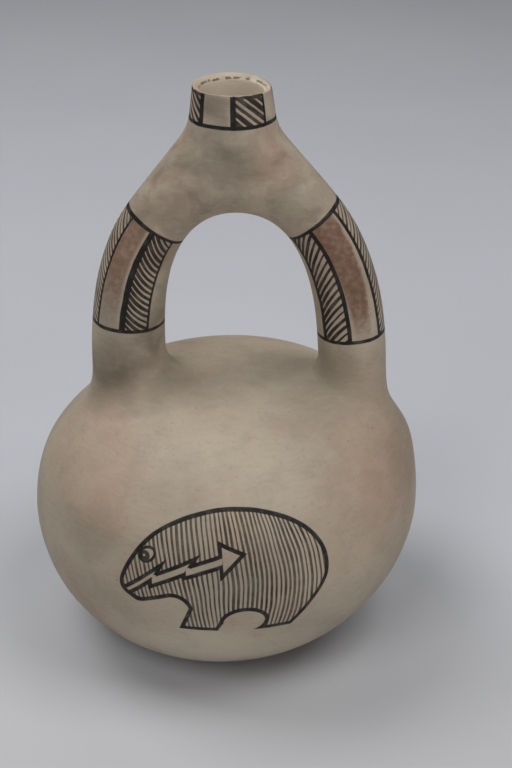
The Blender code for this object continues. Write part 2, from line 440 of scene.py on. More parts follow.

# %% [markdown]
# ## Slip, the ground of the painting
#
# The slip is a fine white-firing clay, laid on thin and rubbed with a smooth stone. To the eye it is
# a warm cream with a dull sheen. The fire clouds it: smoke greys it where the flame was short of air,
# and more heat turns it pink, as on the right of the belly. Those clouds have places of their own, so
# each is a soft oval whose edge is shaken by a noise. The grey ovals are part smoke and part painted
# shade: at the feet of both tubes, most of all the left one, on the top of the belly under the stirrup,
# on the sides of the crown, on the front of the spout and at the right edge of the belly. The pale
# ovals are painted light on the front of the belly, strongest low down. Slow noises carry the same
# colours over the rest, the back too.
#
# Close up, the rubbing leaves a short fine grain that runs round the pot. It is a noise squeezed in
# height. The clay is mottled too, most of all over the crown, where the smoke gathered. A noise of
# the grit's own size and a few sparse specks of iron finish it.

# %% Slip's colours and sizes
SLIP_CREAM = "B3A592"
SLIP_PINK = "AE917E"
SLIP_GREY = "968E7E"
# the smoke grey also paints shade and the pale cream also paints light, in the ovals below
SLIP_SMOKE_AND_SHADE = "766B5C"
SLIP_PALE_AND_LIGHT = "C2B6A3"
SPECK = "4A3F33"
# a stain: the pattern's value where it starts, the one where it is full, its strength, its colour
CLOUD_SIZE = 34.0
CLOUD_STAIN = 0.42, 0.68, 0.55, SLIP_GREY
BLUSH_SIZE = 22.0
BLUSH_STAIN = 0.45, 0.70, 0.45, SLIP_PINK
MOTTLE_SIZE = 7.0
MOTTLE_STAINS = (0.5, 0.72, SLIP_PALE_AND_LIGHT), (0.5, 0.28, SLIP_SMOKE_AND_SHADE)
MOTTLE_HEIGHTS = 88.0, 140.0
MOTTLE_STRENGTHS = 0.12, 0.5
GRAIN_LENGTH = 4.5
GRAIN_HEIGHT = 0.7
GRAIN_STAINS = (0.5, 0.8, 0.18, SLIP_PALE_AND_LIGHT), (0.5, 0.2, 0.15, SLIP_SMOKE_AND_SHADE)
GRIT_SIZE = 1.1
GRIT_STAIN = 0.55, 0.75, 0.25, SLIP_SMOKE_AND_SHADE
SPECK_SPACING = 9.0
SPECK_RADIUS = 0.22
SPECK_STRENGTH = 0.8
# a shake: the size of the noise and how far it moves a point
CLOUD_SHAKE = 13.0, 6.0
GRAIN_SHAKE = 9.0, 1.2
# a soft oval: its centre, its reach and its strength
OVAL_EDGE, OVAL_CORE = 1.15, 0.15
# ovals of smoke and of painted shade: the feet of the tubes, the belly's top under the stirrup, the crown's
# sides, the spout's front, the belly's right edge
SMOKE_AND_PAINTED_SHADE = [
    ((-30.0, -6.0, 92.0), (17.0, 22.0, 15.0), 0.95), ((-20.0, -8.0, 86.0), (22.0, 15.0, 9.0), 0.60),
    ((-4.0, -17.0, 87.0), (18.0, 8.0, 6.0), 0.25), ((14.0, 0.0, 88.0), (22.0, 18.0, 9.0), 0.22),
    ((33.0, -14.0, 90.0), (17.0, 14.0, 13.0), 0.45), ((-38.0, -44.0, 57.0), (16.0, 16.0, 9.0), 0.35),
    ((-20.0, -6.0, 104.0), (7.0, 9.0, 13.0), 0.80), ((3.0, -10.0, 157.0), (21.0, 16.0, 20.0), 0.25),
    ((-1.0, -11.0, 177.0), (10.0, 9.0, 8.0), 0.50),
    ((-18.0, -8.0, 147.0), (15.0, 13.0, 13.0), 0.45), ((25.0, -8.0, 147.0), (13.0, 13.0, 13.0), 0.32),
    ((56.0, -8.0, 66.0), (9.0, 24.0, 18.0), 0.30), ((-13.0, -8.0, 138.0), (9.0, 9.0, 6.0), 0.35),
]
BLUSHES = [
    ((-34.0, -34.0, 70.0), (32.0, 30.0, 20.0), 0.42), ((50.0, -26.0, 66.0), (30.0, 42.0, 32.0), 0.60),
    ((17.0, -10.0, 160.0), (10.0, 12.0, 15.0), 0.70), ((-14.0, -10.0, 152.0), (10.0, 10.0, 10.0), 0.45),
]
# ovals of painted light on the front of the belly, strongest low down
PAINTED_LIGHT_PLACES = [
    ((-2.0, -44.0, 78.0), (34.0, 18.0, 9.0), 0.12), ((42.0, -46.0, 38.0), (20.0, 24.0, 18.0), 0.40),
    ((-2.0, -50.0, 20.0), (40.0, 26.0, 16.0), 1.00),
]
print("clouds, blushes and pale places:", len(SMOKE_AND_PAINTED_SHADE), len(BLUSHES), len(PAINTED_LIGHT_PLACES))


# %% Patterns
def product(tree, first, *others):
    """The product of several values. Of amounts it is full only where all of them are."""
    for other in others:
        first = add(tree, "Math", {0: first, 1: other}, operation="MULTIPLY")
    return first


def strongest(tree, first, *others):
    """The largest of several values. Of signed distances it is the part that the shapes share."""
    for other in others:
        first = add(tree, "Math", {0: first, 1: other}, operation="MAXIMUM")
    return first


def centred(tree, pattern, low, high):
    """Spreads a pattern's middle range over 0 to 1, with soft ends."""
    return add(
        tree, "MapRange", {"Value": pattern, "From Min": low, "From Max": high},
        interpolation_type="SMOOTHSTEP",
    )


def stained(tree, colour, pattern, low, high, strength, stain):
    """A colour with a stain that follows a pattern."""
    return tint(tree, product(tree, centred(tree, pattern, low, high), strength), colour, stain)


def shaken(tree, place, size, reach, dimensions=3):
    """A place moved by a noise of a size. A flat place is moved in two dimensions."""
    reaches = (2.0 * reach,) * dimensions + (0.0,) * (3 - dimensions)
    drift = add(tree, "TexNoise", {"Vector": place, "Scale": 1.0 / size, "Detail": 1.5}, "Color")
    drift = add(tree, "VectorMath", {0: drift, 1: (0.5, 0.5, 0.5)}, operation="SUBTRACT")
    return add(tree, "VectorMath", {0: drift, 1: reaches, 2: place}, operation="MULTIPLY_ADD")


def clouds(tree, place, spots):
    """The strongest of a few soft ovals at a place."""
    amounts = []
    for centre, reach, strength in spots:
        away = add(tree, "VectorMath", {0: place, 1: centre}, operation="SUBTRACT")
        away = add(tree, "VectorMath", {0: away, 1: reach}, operation="DIVIDE")
        away = add(tree, "VectorMath", {0: away}, "Value", operation="LENGTH")
        amounts.append(add(
            tree, "MapRange",
            {"Value": away, "From Min": OVAL_EDGE, "From Max": OVAL_CORE, "To Max": strength},
            interpolation_type="SMOOTHSTEP",
        ))
    return strongest(tree, *amounts)


# %% Slip
def slip_grain(tree, place):
    """The rubbed grain: a noise that is long round the pot and low in height."""
    squeezed = add(
        tree, "Mapping",
        {"Vector": shaken(tree, place, *GRAIN_SHAKE),
         "Scale": (1.0 / GRAIN_LENGTH, 1.0 / GRAIN_LENGTH, 1.0 / GRAIN_HEIGHT)},
    )
    return add(tree, "TexNoise", {"Vector": squeezed, "Scale": 1.0, "Detail": 3.0, "Roughness": 0.6})


def specks(tree, place):
    """A few small round specks of iron, one at the heart of each cell of a pattern."""
    away = add(tree, "TexVoronoi", {"Vector": place, "Scale": 1.0 / SPECK_SPACING}, "Distance")
    core, edge = 0.5 * SPECK_RADIUS / SPECK_SPACING, 1.5 * SPECK_RADIUS / SPECK_SPACING
    return add(tree, "MapRange", {"Value": away, "From Min": edge, "From Max": core})


def slip_colour(tree, place):
    """The slip's colour with painted shade and light, its grain and its grit. place is in millimetres."""
    drifting = shaken(tree, place, *CLOUD_SHAKE)
    cloud = add(tree, "TexNoise", {"Vector": place, "Scale": 1.0 / CLOUD_SIZE, "Detail": 3.0})
    blush = add(tree, "TexNoise", {"Vector": place, "Scale": 1.0 / BLUSH_SIZE, "Detail": 4.0})
    mottle = add(tree, "TexNoise", {"Vector": drifting, "Scale": 1.0 / MOTTLE_SIZE, "Detail": 4.0})
    grit = add(tree, "TexNoise", {"Vector": place, "Scale": 1.0 / GRIT_SIZE, "Detail": 3.0, "Roughness": 0.6})
    grain = slip_grain(tree, place)
    mottled = add(
        tree, "MapRange",
        {"Value": add(tree, "SeparateXYZ", {0: place}).node.outputs[2],
         "From Min": MOTTLE_HEIGHTS[0], "From Max": MOTTLE_HEIGHTS[1],
         "To Min": MOTTLE_STRENGTHS[0], "To Max": MOTTLE_STRENGTHS[1]},
    )
    colour = stained(tree, linear(SLIP_CREAM), cloud, *CLOUD_STAIN)
    colour = stained(tree, colour, blush, *BLUSH_STAIN)
    # pale painted light, fire pink, then smoke with painted shade, each over its own ovals
    for spots, stain in ((PAINTED_LIGHT_PLACES, SLIP_PALE_AND_LIGHT), (BLUSHES, SLIP_PINK), (SMOKE_AND_PAINTED_SHADE, SLIP_SMOKE_AND_SHADE)):
        colour = tint(tree, clouds(tree, drifting, spots), colour, stain)
    for low, high, stain in MOTTLE_STAINS:
        colour = stained(tree, colour, mottle, low, high, mottled, stain)
    for values in GRAIN_STAINS:
        colour = stained(tree, colour, grain, *values)
    colour = stained(tree, colour, grit, *GRIT_STAIN)
    colour = tint(tree, product(tree, specks(tree, place), SPECK_STRENGTH), colour, SPECK)
    return colour, grain, grit


print("rubbed grain in mm:", GRAIN_LENGTH, "long and", GRAIN_HEIGHT, "high")

# %% [markdown]
# ## Painted lines
#
# The painter works with a chewed yucca brush and a brown-black paint. A line is the set of points
# closer to its course than half its width, and its edge wavers because the place that is tested is
# first shaken by a little noise. A hatch is the same line repeated. Everything here is colour alone:
# the paint has no height.

# %% Lines and hatches
INK = "15130F"
INK_THIN = "2C231B"
ROSE = "6F4B38"
EDGE = 0.10
STROKE_VARIETY = 0.14


def line(tree, distance, width):
    """1 where a distance is less than half a line's width."""
    away = add(tree, "Math", {0: distance}, operation="ABSOLUTE")
    return centred(tree, away, width / 2.0 + EDGE, width / 2.0 - EDGE)


def inside(tree, distance):
    """1 where a signed distance is negative."""
    return add(tree, "MapRange", {"Value": distance, "From Min": EDGE, "From Max": -EDGE})


def outside_of(tree, distance):
    """1 where a signed distance is positive."""
    return add(tree, "MapRange", {"Value": distance, "From Min": -EDGE, "From Max": EDGE})


def up_to(tree, value, limit):
    """1 where a value lies between nothing and a limit."""
    past = add(tree, "Math", {0: value, 1: limit}, operation="SUBTRACT")
    return product(tree, outside_of(tree, value), inside(tree, past))


def hatch(tree, course, spacing, duty):
    """Strokes repeated along a course. duty is the inked share of a spacing, a little other in each."""
    turn = add(tree, "Math", {0: course, 1: spacing}, operation="DIVIDE")
    number = add(tree, "Math", {0: turn}, operation="FLOOR")
    chance = add(tree, "TexWhiteNoise", {"W": number}, noise_dimensions="1D")
    chance = add(tree, "Math", {0: chance, 1: 0.5}, operation="SUBTRACT")
    share = add(tree, "Math", {0: turn}, operation="FRACT")
    away = add(tree, "Math", {0: share, 1: 0.5}, operation="SUBTRACT")
    away = add(tree, "Math", {0: away}, operation="ABSOLUTE")
    half = product(tree, duty, 0.5)
    half = add(tree, "Math", {0: chance, 1: STROKE_VARIETY, 2: half}, operation="MULTIPLY_ADD")
    soft = EDGE / spacing
    low = add(tree, "Math", {0: half, 1: soft}, operation="SUBTRACT")
    high = add(tree, "Math", {0: half, 1: soft}, operation="ADD")
    return centred(tree, away, high, low)


print("a painted edge is", 2.0 * EDGE, "mm wide")


# %% Shapes on the flat
def ellipse(tree, place, centre, reach, tilt=0.0):
    """Signed distance to an ellipse on the flat, in millimetres, exact at its edge."""
    unit = add(
        tree, "Mapping",
        {"Vector": place, "Location": (*centre, 0.0), "Rotation": (0.0, 0.0, math.radians(tilt)),
         "Scale": (*reach, 1.0)},
        vector_type="TEXTURE",
    )
    share = add(tree, "VectorMath", {0: unit}, "Value", operation="LENGTH")
    slope = add(tree, "VectorMath", {0: unit, 1: (*reach, 1.0)}, operation="DIVIDE")
    slope = add(tree, "VectorMath", {0: slope}, "Value", operation="LENGTH")
    past = add(tree, "Math", {0: share, 1: 1.0}, operation="SUBTRACT")
    return add(tree, "Math", {0: product(tree, past, share), 1: slope}, operation="DIVIDE")


def facing(turn):
    """The flat direction at an angle from the right-hand side, in degrees."""
    return Vector((math.cos(math.radians(turn)), math.sin(math.radians(turn))))


def beyond(tree, place, spot, turn):
    """Distance past a straight edge that goes through a spot and faces an angle."""
    face = facing(turn)
    level = add(tree, "VectorMath", {0: place, 1: (*face, 0.0)}, "Value", operation="DOT_PRODUCT")
    return add(tree, "Math", {0: level, 1: face.dot(Vector(spot))}, operation="SUBTRACT")


def bar(tree, place, start, end, half, start_turn, end_turn):
    """Signed distance to a straight bar. Its two ends are cut along lines that face their own angles."""
    run = Vector(end) - Vector(start)
    side = math.degrees(math.atan2(run.y, run.x)) + 90.0
    away = add(tree, "Math", {0: beyond(tree, place, start, side)}, operation="ABSOLUTE")
    return strongest(
        tree,
        add(tree, "Math", {0: away, 1: half}, operation="SUBTRACT"),
        beyond(tree, place, start, start_turn + 180.0),
        beyond(tree, place, end, end_turn),
    )


def rod(tree, place, start, end, radius):
    """Signed distance to a bar with round ends."""
    run = Vector(end) - Vector(start)
    share = Vector((*(run / run.length_squared), 0.0))
    moved = add(tree, "VectorMath", {0: place, 1: (*start, 0.0)}, operation="SUBTRACT")
    along = add(tree, "VectorMath", {0: moved, 1: share}, "Value", operation="DOT_PRODUCT")
    along = add(tree, "Math", {0: along, 1: 1.0}, operation="MULTIPLY", use_clamp=True)
    back = add(tree, "VectorMath", {0: (*(-run), 0.0), "Scale": along}, operation="SCALE")
    gap = add(tree, "VectorMath", {0: moved, 1: back}, operation="ADD")
    gap = add(tree, "VectorMath", {0: gap}, "Value", operation="LENGTH")
    return add(tree, "Math", {0: gap, 1: radius}, operation="SUBTRACT")


# %% [markdown]
# ## The bear with its heartline
#
# A bear with an arrow from its mouth to its heart is an old and common figure of this kind of
# pottery. It is drawn here from plain shapes: one oval for the humped back, a tilted one for the low
# head, and two upright bars for the legs. A round-ended rod is cut out under the throat, down to the
# straight front of the fore leg, and an oval with a straight-sided foot is cut out under the belly. A
# slanting edge trims the rump and a level one the soles. Each shape is a signed distance, so a union
# is a minimum, a cut is a maximum, and the outline is where the distance is near nothing. The
# heartline is three slanting bars with a small disc at each joint, and an arrow head. The figure is
# measured over the skin: to the right round the belly, and up from the waist.

# %% The bear's measures
BELLY_RADIUS = 61.0
MERIDIAN_RADIUS = 55.0
# an oval: its middle, its half sizes in millimetres and its tilt in degrees
BACK = (1.6, 2.5), (30.2, 20.3), 2.8
HEAD = (-19.0, 6.4), (15.1, 6.2), 39.0
BELLY_ARCH = (6.7, -10.8), (6.95, 4.7), 5.0
LEGS = ((-12.2, -1.0), (12.0, 27.0))
LEG_TOP = -1.8
SOLE = -13.6
THROAT_START, THROAT_END, THROAT_RADIUS = (-14.8, -8.0), (-43.1, -17.9), 5.7
LEG_FRONT_SPOT, LEG_FRONT_TURN = (-9.4, -6.1), -20.8
ARCH_CORNERS = ((-0.25, -10.8), (7.0, -10.8), (7.0, -15.0), (-2.3, -15.0))
RUMP_SPOT, RUMP_TURN = (24.0, -10.5), -38.9
JOINING = 4.0
CUTTING = 3.0
EYE = (-23.7, 8.6), (2.5, 1.9), 28.0
PUPIL = (-24.5, 8.0), (1.75, 1.6)
GLINT = (-24.6, 8.2), (0.4, 0.35)
# a bar: its two ends, its half width and the angles that its ends face
HEART_BARS = (
    ((-31.5, -5.2), (-19.9, 4.2), 1.05, 0.0, -24.0),
    ((-21.9, 0.9), (-10.0, 7.0), 1.4, 4.0, -31.0),
    ((-11.8, 4.9), (0.0, 9.1), 1.4, 8.0, 0.0),
)
HEART_JOINTS = ((-20.7, 2.5), (-10.6, 6.0))
JOINT_REACH = (1.25, 1.25)
ARROW_HEAD = ((-1.7, 13.7), (-0.6, 4.4), (5.6, 10.7))
BEAR_LINE = 1.3
HEART_LINE = 1.2
EYE_LINE = 0.85
BEAR_SHAKE = 9.0, 0.22
print("bear's back in mm:", 2.0 * BACK[1][0], "long and", 2.0 * BACK[1][1], "high")


# %% The bear's outline
def belly_place(tree, place):
    """Millimetres to the right round the belly, and up from the waist."""
    split = add(tree, "SeparateXYZ", {0: place}).node
    across = add(
        tree, "Math", {0: split.outputs[2], 1: -BODY_LEAN, 2: split.outputs[0]}, operation="MULTIPLY_ADD"
    )
    forward = product(tree, split.outputs[1], -1.0)
    flat = add(tree, "CombineXYZ", {0: across, 1: forward})
    out = add(tree, "VectorMath", {0: flat}, "Value", operation="LENGTH")
    above = add(tree, "Math", {0: split.outputs[2], 1: WAIST_HEIGHT / MM}, operation="SUBTRACT")
    round_angle = add(tree, "Math", {0: across, 1: forward}, operation="ARCTAN2")
    up_angle = add(tree, "Math", {0: above, 1: out}, operation="ARCTAN2")
    right = product(tree, round_angle, BELLY_RADIUS)
    up = product(tree, up_angle, MERIDIAN_RADIUS)
    return add(tree, "CombineXYZ", {0: right, 1: up})


def polygon(tree, place, corners):
    """Signed distance to a shape with straight edges and no hollow corner, listed in turn."""
    middle = sum((Vector(corner) for corner in corners), Vector((0.0, 0.0))) / len(corners)
    sides = []
    for corner, after in zip(corners, corners[1:] + corners[:1]):
        edge = Vector(after) - Vector(corner)
        turn = math.degrees(math.atan2(edge.y, edge.x)) - 90.0
        if facing(turn).dot(middle - Vector(corner)) > 0.0:
            turn += 180.0
        sides.append(beyond(tree, place, corner, turn))
    return strongest(tree, *sides)


def union(tree, first, *others):
    """The smallest of signed distances, which is that of the joined shapes."""
    for other in others:
        first = add(tree, "Math", {0: first, 1: other}, operation="MINIMUM")
    return first


def cut(tree, shape, edge):
    """The part of a shape where an edge's distance is negative, with rounded new corners."""
    return add(tree, "Math", {0: shape, 1: edge, 2: CUTTING}, operation="SMOOTH_MAX")


def bear_shape(tree, flat):
    """Signed distance to the bear's outline."""
    parts = [ellipse(tree, flat, *HEAD)]
    for left, right in LEGS:
        spine = ((left + right) / 2.0, LEG_TOP), ((left + right) / 2.0, SOLE - 1.0)
        parts.append(bar(tree, flat, *spine, (right - left) / 2.0, -90.0, -90.0))
    shape = ellipse(tree, flat, *BACK)
    for part in parts:
        shape = add(tree, "Math", {0: shape, 1: part, 2: JOINING}, operation="SMOOTH_MIN")
    throat = rod(tree, flat, THROAT_START, THROAT_END, THROAT_RADIUS)
    throat = union(tree, throat, beyond(tree, flat, THROAT_START, 90.0))
    throat = strongest(tree, throat, beyond(tree, flat, LEG_FRONT_SPOT, LEG_FRONT_TURN))
    arch = union(tree, ellipse(tree, flat, *BELLY_ARCH), polygon(tree, flat, ARCH_CORNERS))
    shape = cut(tree, shape, beyond(tree, flat, RUMP_SPOT, RUMP_TURN))
    shape = cut(tree, shape, product(tree, throat, -1.0))
    soles = beyond(tree, flat, (0.0, SOLE), -90.0)
    return strongest(tree, shape, product(tree, arch, -1.0), soles)


def arrow_shape(tree, flat):
    """Signed distance to the zigzag heartline and its arrow head."""
    bars = [bar(tree, flat, *measures) for measures in HEART_BARS]
    joints = [ellipse(tree, flat, spot, JOINT_REACH) for spot in HEART_JOINTS]
    return union(tree, polygon(tree, flat, ARROW_HEAD), *bars, *joints)


# %% The bear's ink
HATCH_SPACING = 1.42
HATCH_DUTY = 0.5
HATCH_LEANS = 0.30, 0.06
HATCH_LEAN_SPAN = -20.0, 8.0
HATCH_BOW = 0.011
HATCH_BOW_SPAN = -8.0, 20.0
HATCH_WANDER = 0.55
HATCH_WANDER_SIZE = 15.0
LOAD_SIZE = 10.0
LOAD_SPAN = 0.3, 0.7
LOAD_LEAST = 0.72


def hatch_course(tree, flat):
    """Across the bear's strokes: they lean at the head, and bow outwards more and more at the rump."""
    split = add(tree, "SeparateXYZ", {0: flat}).node
    right, up = split.outputs[0], split.outputs[1]
    lean = add(
        tree, "MapRange",
        {"Value": right, "From Min": HATCH_LEAN_SPAN[0], "From Max": HATCH_LEAN_SPAN[1],
         "To Min": HATCH_LEANS[0], "To Max": HATCH_LEANS[1]},
    )
    bow = add(
        tree, "MapRange",
        {"Value": right, "From Min": HATCH_BOW_SPAN[0], "From Max": HATCH_BOW_SPAN[1], "To Max": HATCH_BOW},
    )
    course = add(tree, "Math", {0: up, 1: lean, 2: right}, operation="MULTIPLY_ADD")
    course = add(tree, "Math", {0: product(tree, up, up), 1: bow, 2: course}, operation="MULTIPLY_ADD")
    wander = add(tree, "TexNoise", {"Vector": flat, "Scale": 1.0 / HATCH_WANDER_SIZE, "Detail": 1.0})
    return add(tree, "Math", {0: wander, 1: 2.0 * HATCH_WANDER, 2: course}, operation="MULTIPLY_ADD")


def bear_ink(tree, place):
    """Two amounts of ink: the bear's outlines and eye, and its hatching."""
    flat = shaken(tree, belly_place(tree, place), *BEAR_SHAKE, dimensions=2)
    shape = bear_shape(tree, flat)
    arrow = arrow_shape(tree, flat)
    eye = ellipse(tree, flat, *EYE)
    pupil = inside(tree, ellipse(tree, flat, *PUPIL))
    pupil = product(tree, pupil, outside_of(tree, ellipse(tree, flat, *GLINT)))
    strokes = hatch(tree, hatch_course(tree, flat), HATCH_SPACING, HATCH_DUTY)
    load = add(tree, "TexNoise", {"Vector": flat, "Scale": 1.0 / LOAD_SIZE, "Detail": 2.0})
    load = add(
        tree, "MapRange",
        {"Value": load, "From Min": LOAD_SPAN[0], "From Max": LOAD_SPAN[1], "To Min": LOAD_LEAST},
    )
    in_bear = inside(tree, shape)
    strokes = product(tree, strokes, in_bear, outside_of(tree, arrow), outside_of(tree, eye), load)
    heartline = product(tree, line(tree, arrow, HEART_LINE), in_bear)
    outlines = line(tree, shape, BEAR_LINE)
    return strongest(tree, outlines, heartline, line(tree, eye, EYE_LINE), pupil), strokes


print("the bear's strokes stand", HATCH_SPACING, "mm apart")

# %% [markdown]
# ## The bands on the stirrup
#
# Each tube has a painted band between two ring lines. Round the tube the band is cut into panels: a
# fine hatch on the outside, a rose strip, a bold hatch, and bare slip on the inside of the arch. The
# back repeats the front. The two tubes share one drawing, and a switch that is 0 on the left and 1 on
# the right moves the borders between the two sets of measures.

# %% Bands
# a pair: the left tube's measure and the right one's, in degrees round the tube or in millimetres
PANEL_EDGES = ((37.0, 37.0), (84.0, 95.0), (126.0, 141.0))
PANEL_TWIST = 6.0
PANEL_LINES = ((0.9, 1.35), (1.85, 1.35), (0.8, 1.35))
RING_LINE = 1.15
TUBE_RADIUS = 10.5
TUBE_ARC = math.radians(TUBE_RADIUS)
BAND_SHAKE = 6.0, 0.22


def either_side(tree, switch, pair):
    """The left tube's measure or the right one's."""
    return add(tree, "Math", {0: switch, 1: pair[1] - pair[0], 2: pair[0]}, operation="MULTIPLY_ADD")


def tube_measures(tree, place):
    """A point's angle round its tube, how far along the band it lies, the band's length, the switch."""
    across = add(tree, "SeparateXYZ", {0: place}).node.outputs[0]
    switch = add(tree, "Math", {0: across, 1: STIRRUP_SHIFT / MM}, operation="GREATER_THAN")
    stored = add(tree, "Attribute", {}, "Vector", attribute_name="place_on_tube")
    spot = add(tree, "SeparateXYZ", {0: shaken(tree, stored, *BAND_SHAKE)}).node
    behind = add(tree, "Math", {0: spot.outputs[1]}, operation="ABSOLUTE")
    turn = add(tree, "Math", {0: behind, 1: spot.outputs[0]}, operation="ARCTAN2")
    turn = add(tree, "Math", {0: turn}, operation="DEGREES")
    length = either_side(tree, switch, (BAND_LENGTH[-1], BAND_LENGTH[1]))
    return turn, spot.outputs[2], length, switch


def border_lines(tree, gaps, switch):
    """The lines between the panels. gaps are the distances past them, round the tube."""
    borders = []
    for gap, widths in zip(gaps, PANEL_LINES):
        away = add(tree, "Math", {0: gap}, operation="ABSOLUTE")
        half = product(tree, either_side(tree, switch, widths), 0.5)
        borders.append(inside(tree, add(tree, "Math", {0: away, 1: half}, operation="SUBTRACT")))
    return strongest(tree, *borders)


print("borders between the panels in degrees, left and right:", PANEL_EDGES)

# %% The two hatches of a band
FINE_SPACINGS = 1.75, 2.0
FINE_GAUGE = 2.0
FINE_SLOPE = 0.75
FINE_DUTY = 0.44
FINE_INK = 0.9
BOLD_SPACINGS = 2.0, 2.5
BOLD_GAUGE = 2.5
BOLD_STRAIGHT = 9.0, 5.6
BOLD_BENT = -2.6, 3.7
BOLD_DUTY = 0.82, 0.34
BOLD_TAPER = -0.36, 0.42


def to_gauge(tree, switch, course, spacings, gauge):
    """A course that is stretched until the spacing of either tube is one common gauge."""
    return product(tree, course, either_side(tree, switch, [gauge / spacing for spacing in spacings]))


def fine_hatch(tree, turn, along, switch):
    """Thin slanting strokes."""
    course = add(tree, "Math", {0: turn, 1: TUBE_ARC * FINE_SLOPE, 2: along}, operation="MULTIPLY_ADD")
    course = to_gauge(tree, switch, course, FINE_SPACINGS, FINE_GAUGE)
    return product(tree, hatch(tree, course, FINE_GAUGE, FINE_DUTY), FINE_INK)


def bold_hatch(tree, turn, along, switch, edges):
    """Broad strokes that bend, and thicken or thin, on their way across the panel."""
    part = add(tree, "MapRange", {"Value": turn, "From Min": edges[0], "From Max": edges[1]}, clamp=False)
    straight = either_side(tree, switch, BOLD_STRAIGHT)
    course = add(tree, "Math", {0: part, 1: straight, 2: along}, operation="MULTIPLY_ADD")
    bent = either_side(tree, switch, BOLD_BENT)
    course = add(tree, "Math", {0: product(tree, part, part), 1: bent, 2: course}, operation="MULTIPLY_ADD")
    duty = either_side(tree, switch, BOLD_DUTY)
    duty = add(
        tree, "Math", {0: part, 1: either_side(tree, switch, BOLD_TAPER), 2: duty}, operation="MULTIPLY_ADD"
    )
    return hatch(tree, to_gauge(tree, switch, course, BOLD_SPACINGS, BOLD_GAUGE), BOLD_GAUGE, duty)


print("spacings in mm, left and right: fine", FINE_SPACINGS, "and bold", BOLD_SPACINGS)

# %% The rose strip and the whole band
ROSE_BRISTLE = 1.6
ROSE_RAGGED = 0.16
ROSE_SOFT = -0.08, 0.10
ROSE_COATS = 0.82, 1.0
ROSE_STREAKS = -0.3, 0.1, 0.6
ROSE_STARTS, ROSE_START_CREEP = (0.02, 0.34), (0.0, -0.24)
ROSE_ENDS, ROSE_END_CREEP = (0.82, 0.84), (0.0, 0.24)
ROSE_FADES = 0.50, 0.32
ROSE_FADE_RAGGED = 0.2
ROSE_FOOT = 0.2


def rose_strip(tree, turn, share, switch, edges, place):
    """The rose strip, with brushed edges and a foot that fades out."""
    rough = add(tree, "TexNoise", {"Vector": place, "Scale": 1.0 / ROSE_BRISTLE, "Detail": 4.0})
    rough = add(tree, "Math", {0: rough, 1: 0.5}, operation="SUBTRACT")
    part = add(tree, "MapRange", {"Value": turn, "From Min": edges[0], "From Max": edges[1]}, clamp=False)
    part = add(tree, "Math", {0: rough, 1: ROSE_RAGGED, 2: part}, operation="MULTIPLY_ADD")
    borders = []
    for sides, creeps in ((ROSE_STARTS, ROSE_START_CREEP), (ROSE_ENDS, ROSE_END_CREEP)):
        border = either_side(tree, switch, sides)
        creep = either_side(tree, switch, creeps)
        borders.append(add(tree, "Math", {0: share, 1: creep, 2: border}, operation="MULTIPLY_ADD"))
    enter = add(tree, "Math", {0: part, 1: borders[0]}, operation="SUBTRACT")
    leave = add(tree, "Math", {0: borders[1], 1: part}, operation="SUBTRACT")
    fade = add(tree, "Math", {0: rough, 1: ROSE_FADE_RAGGED, 2: share}, operation="MULTIPLY_ADD")
    fade = add(tree, "Math", {0: fade, 1: either_side(tree, switch, ROSE_FADES)}, operation="DIVIDE")
    fade = add(tree, "MapRange", {"Value": fade, "To Min": ROSE_FOOT}, interpolation_type="SMOOTHSTEP")
    low, high, least = ROSE_STREAKS
    streaks = add(tree, "MapRange", {"Value": rough, "From Min": low, "From Max": high, "To Min": least})
    coat = either_side(tree, switch, ROSE_COATS)
    return product(
        tree, centred(tree, enter, *ROSE_SOFT), centred(tree, leave, *ROSE_SOFT), fade, streaks, coat
    )


def band_paint(tree, place):
    """Ink lines, ink strokes and rose paint of both tubes."""
    turn, along, length, switch = tube_measures(tree, place)
    share = add(tree, "Math", {0: along, 1: length}, operation="DIVIDE")
    past_top = add(tree, "Math", {0: along, 1: length}, operation="SUBTRACT")
    in_band = up_to(tree, along, length)
    edges = []
    gaps = []
    for pair in PANEL_EDGES:
        edge = either_side(tree, switch, pair)
        edges.append(add(tree, "Math", {0: share, 1: PANEL_TWIST, 2: edge}, operation="MULTIPLY_ADD"))
        past = add(tree, "Math", {0: turn, 1: edges[-1]}, operation="SUBTRACT")
        gaps.append(product(tree, past, TUBE_ARC))
    fine = product(tree, fine_hatch(tree, turn, along, switch), inside(tree, gaps[0]))
    bold = bold_hatch(tree, turn, along, switch, edges[1:])
    bold = product(tree, bold, outside_of(tree, gaps[1]), inside(tree, gaps[2]))
    rose = rose_strip(tree, turn, share, switch, edges[:2], place)
    rings = strongest(tree, line(tree, along, RING_LINE), line(tree, past_top, RING_LINE))
    lines = strongest(tree, rings, product(tree, border_lines(tree, gaps, switch), in_band))
    strokes = product(tree, strongest(tree, fine, bold), in_band)
    return lines, strokes, product(tree, rose, in_band)


print("rose strips start at", ROSE_STARTS, "and end at", ROSE_ENDS, "of their panels")

# %% [markdown]
# ## The ring of panels on the spout
#
# Four square panels of bold hatch stand round the spout over one ring line, each with one thick
# border. The drawing mirrors about a line a little left of the front, so an angle folded about that
# line gives the borders, and the unfolded angle gives the slanting strokes. The paint stops in a
# ragged edge under the lip. Inside, the clay is bare and paler, and a thin broken dark line runs where
# the lip's slope meets the mouth.

